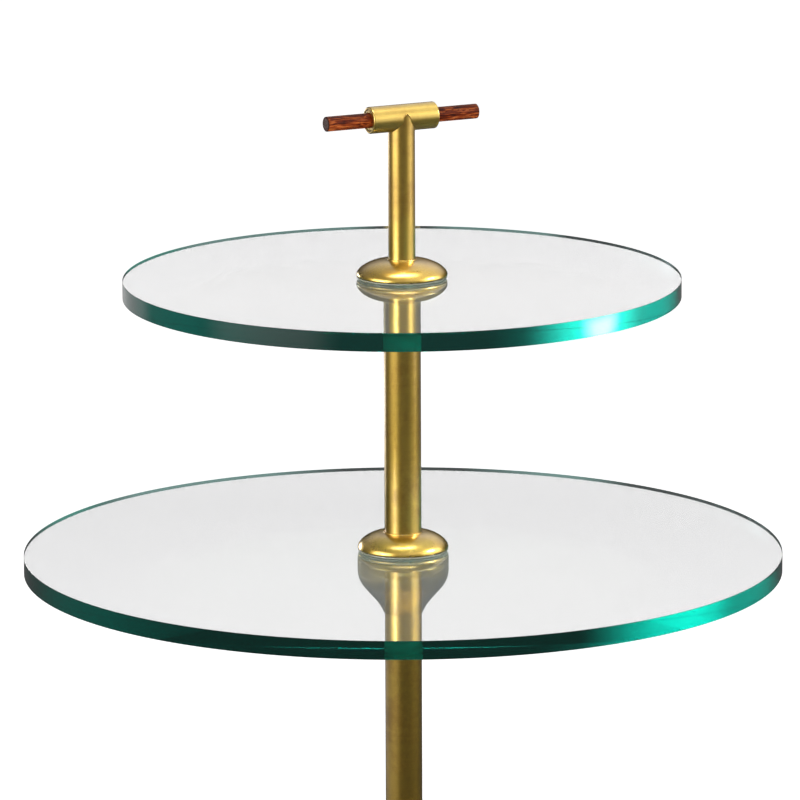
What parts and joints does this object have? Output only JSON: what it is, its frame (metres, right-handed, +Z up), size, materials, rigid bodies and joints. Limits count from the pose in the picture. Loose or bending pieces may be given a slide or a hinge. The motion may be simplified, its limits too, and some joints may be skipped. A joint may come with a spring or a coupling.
{
  "type": "end table",
  "caption": "Two-tier round glass end table on a single brass column with bun collars, a weighted round base and a screw-down T-handle with a rosewood bar.",
  "frame": {"origin": "on the floor, on the axis of the column, at the centre of the base's underside", "axes": "+Z up along the column; +X to the right and +Y away from the viewer as the table stands in the picture"},
  "size_m": [0.5207, 0.5207, 0.7101],
  "materials": {
    "satin_brass": "brushed and lightly aged",
    "polished_brass": "polished",
    "plate_glass": "clear with a polished green edge",
    "clear_vinyl": "clear, slightly grey",
    "rosewood": "oiled",
    "steel": "zinc plated",
    "nylon": "matt",
    "cast_iron": "as cast, painted black",
    "felt": "pressed wool felt"
  },
  "bodies": {
    "table": {"base_felt": "felt", "base_weight": "cast_iron", "base_cover": "satin_brass", "base_collar": "polished_brass", "tie_rod": "steel", "tie_nut": "steel", "tie_washer": "steel", "lower_tube": "satin_brass", "lower_foot_plug": "steel", "lower_head_plug": "steel", "lower_support": "satin_brass", "lower_bottom_washer": "clear_vinyl", "lower_glass": "plate_glass", "lower_glass_bush": "nylon", "lower_top_washer": "clear_vinyl", "lower_collar": "polished_brass", "middle_tube": "satin_brass", "middle_foot_plug": "steel", "middle_head_plug": "steel", "upper_support": "polished_brass", "upper_bottom_washer": "clear_vinyl", "upper_glass": "plate_glass", "upper_glass_bush": "nylon", "upper_top_washer": "clear_vinyl"},
    "clamp": {"upper_collar": "polished_brass", "thrust_washer": "nylon"},
    "handle": {"handle_stem": "satin_brass", "stem_nut": "steel", "retaining_ring": "steel", "handle_sleeve": "satin_brass", "handle_bush_left": "satin_brass", "handle_bush_right": "satin_brass", "handle_rod": "rosewood", "rod_set_screw": "steel"}
  },
  "joints": [
    {"name": "clamp_lift", "type": "slide", "parent": "table", "child": "clamp", "axis": [0, 0, 1], "range_m": [0, 0.01388]},
    {"name": "handle_turn", "type": "hinge", "parent": "clamp", "child": "handle", "pos_m": [0, 0, 0.7], "axis": [0, 0, 1], "range_deg": [0, 3330]}
  ],
  "couplings": [
    {"joint": "clamp_lift", "follows": "handle_turn", "m_per_rad": 0.00023873}
  ]
}
